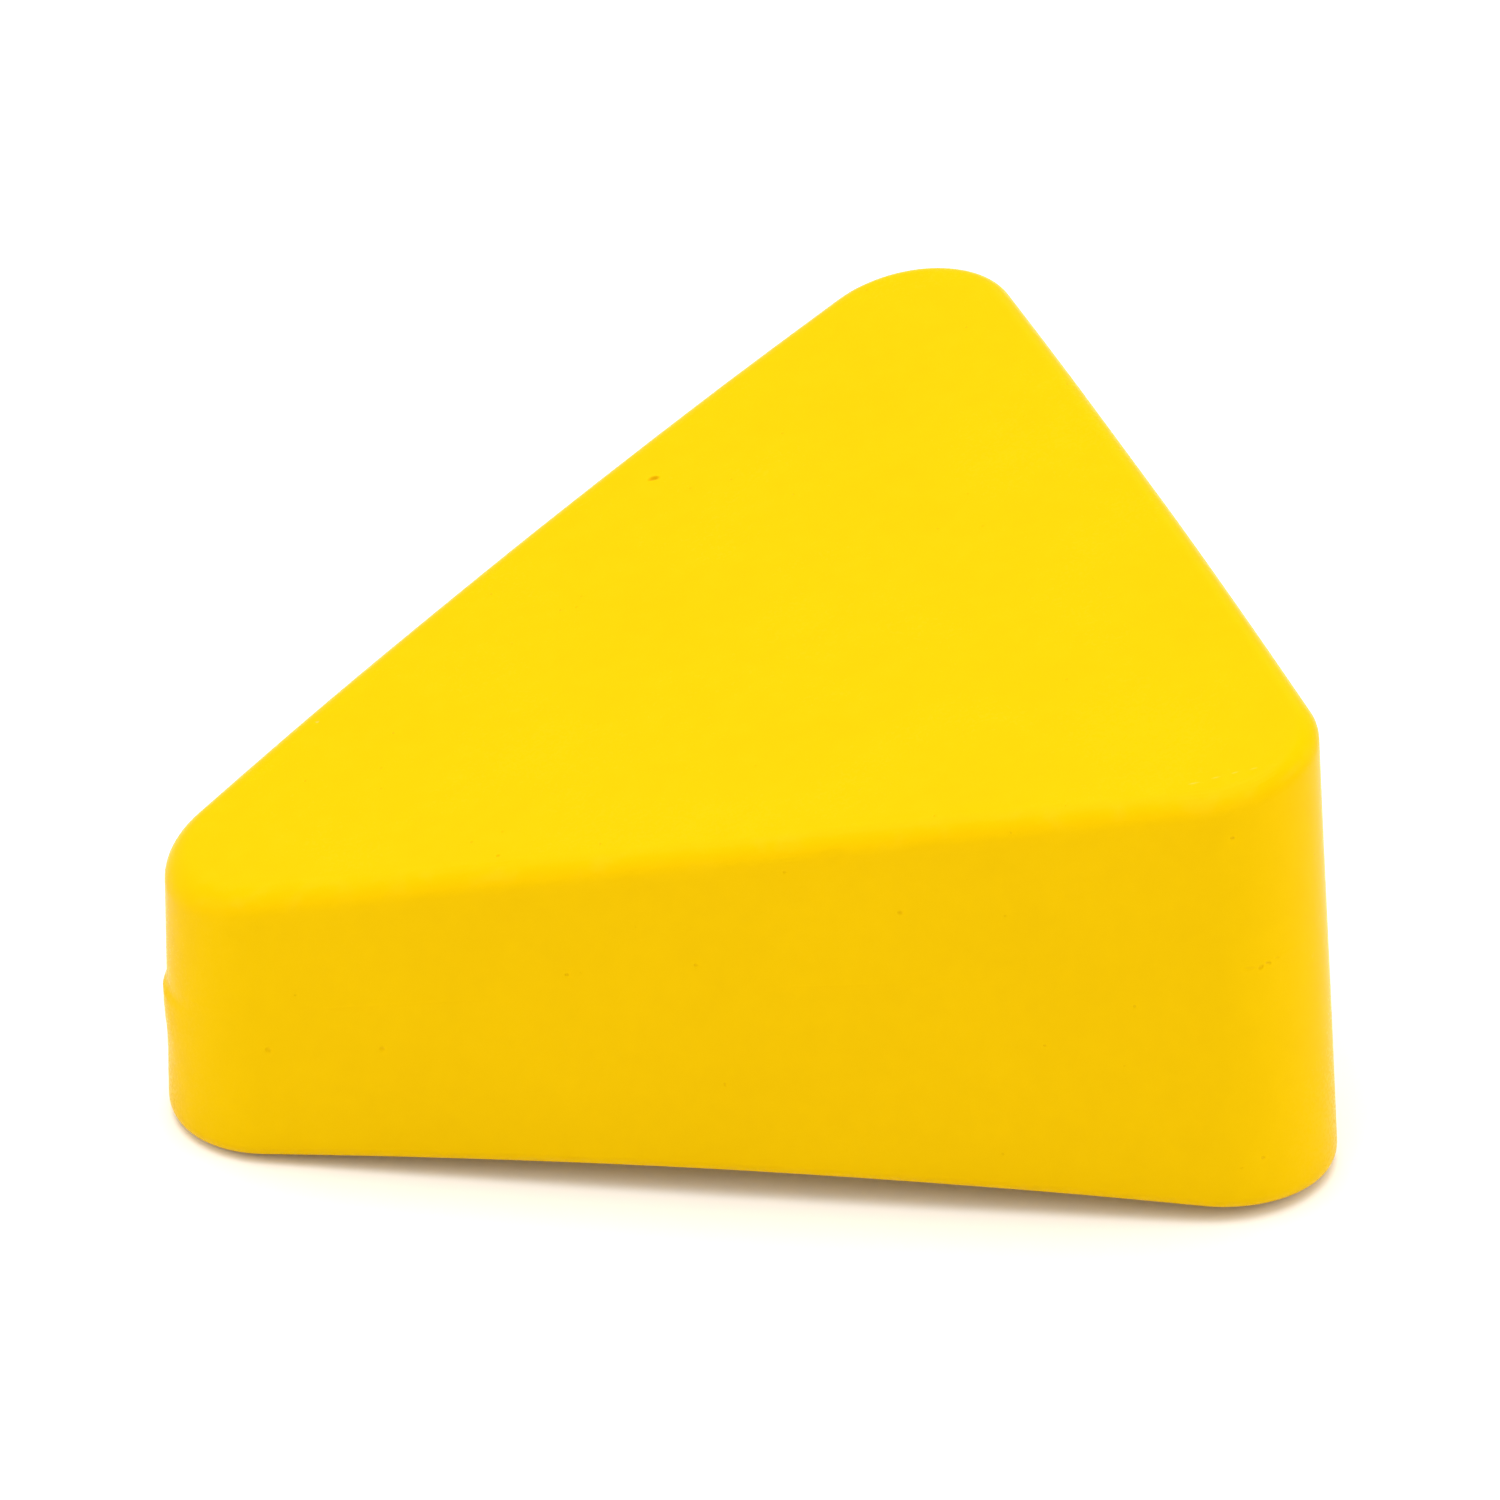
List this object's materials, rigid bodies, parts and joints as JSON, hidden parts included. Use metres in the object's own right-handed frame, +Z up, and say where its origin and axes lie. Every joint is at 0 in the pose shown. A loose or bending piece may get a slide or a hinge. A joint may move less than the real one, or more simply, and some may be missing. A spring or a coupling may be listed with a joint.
{
  "type": "felling wedge",
  "caption": "Blunt three-cornered wedge, thin at its tip and thick at its heel, with softened edges, for propping or spreading a cut or gap.",
  "frame": {"origin": "on the flat base, half way along from tip to heel and midway across", "axes": "+X runs from the thin tip to the thick heel, +Y runs across the heel, +Z points up from the base"},
  "size_m": [0.0724, 0.076, 0.0341],
  "materials": {
    "skin": "satin",
    "core": "matte"
  },
  "bodies": {
    "root": {"outer_skin": "skin", "foam_core": "core"}
  },
  "joints": []
}
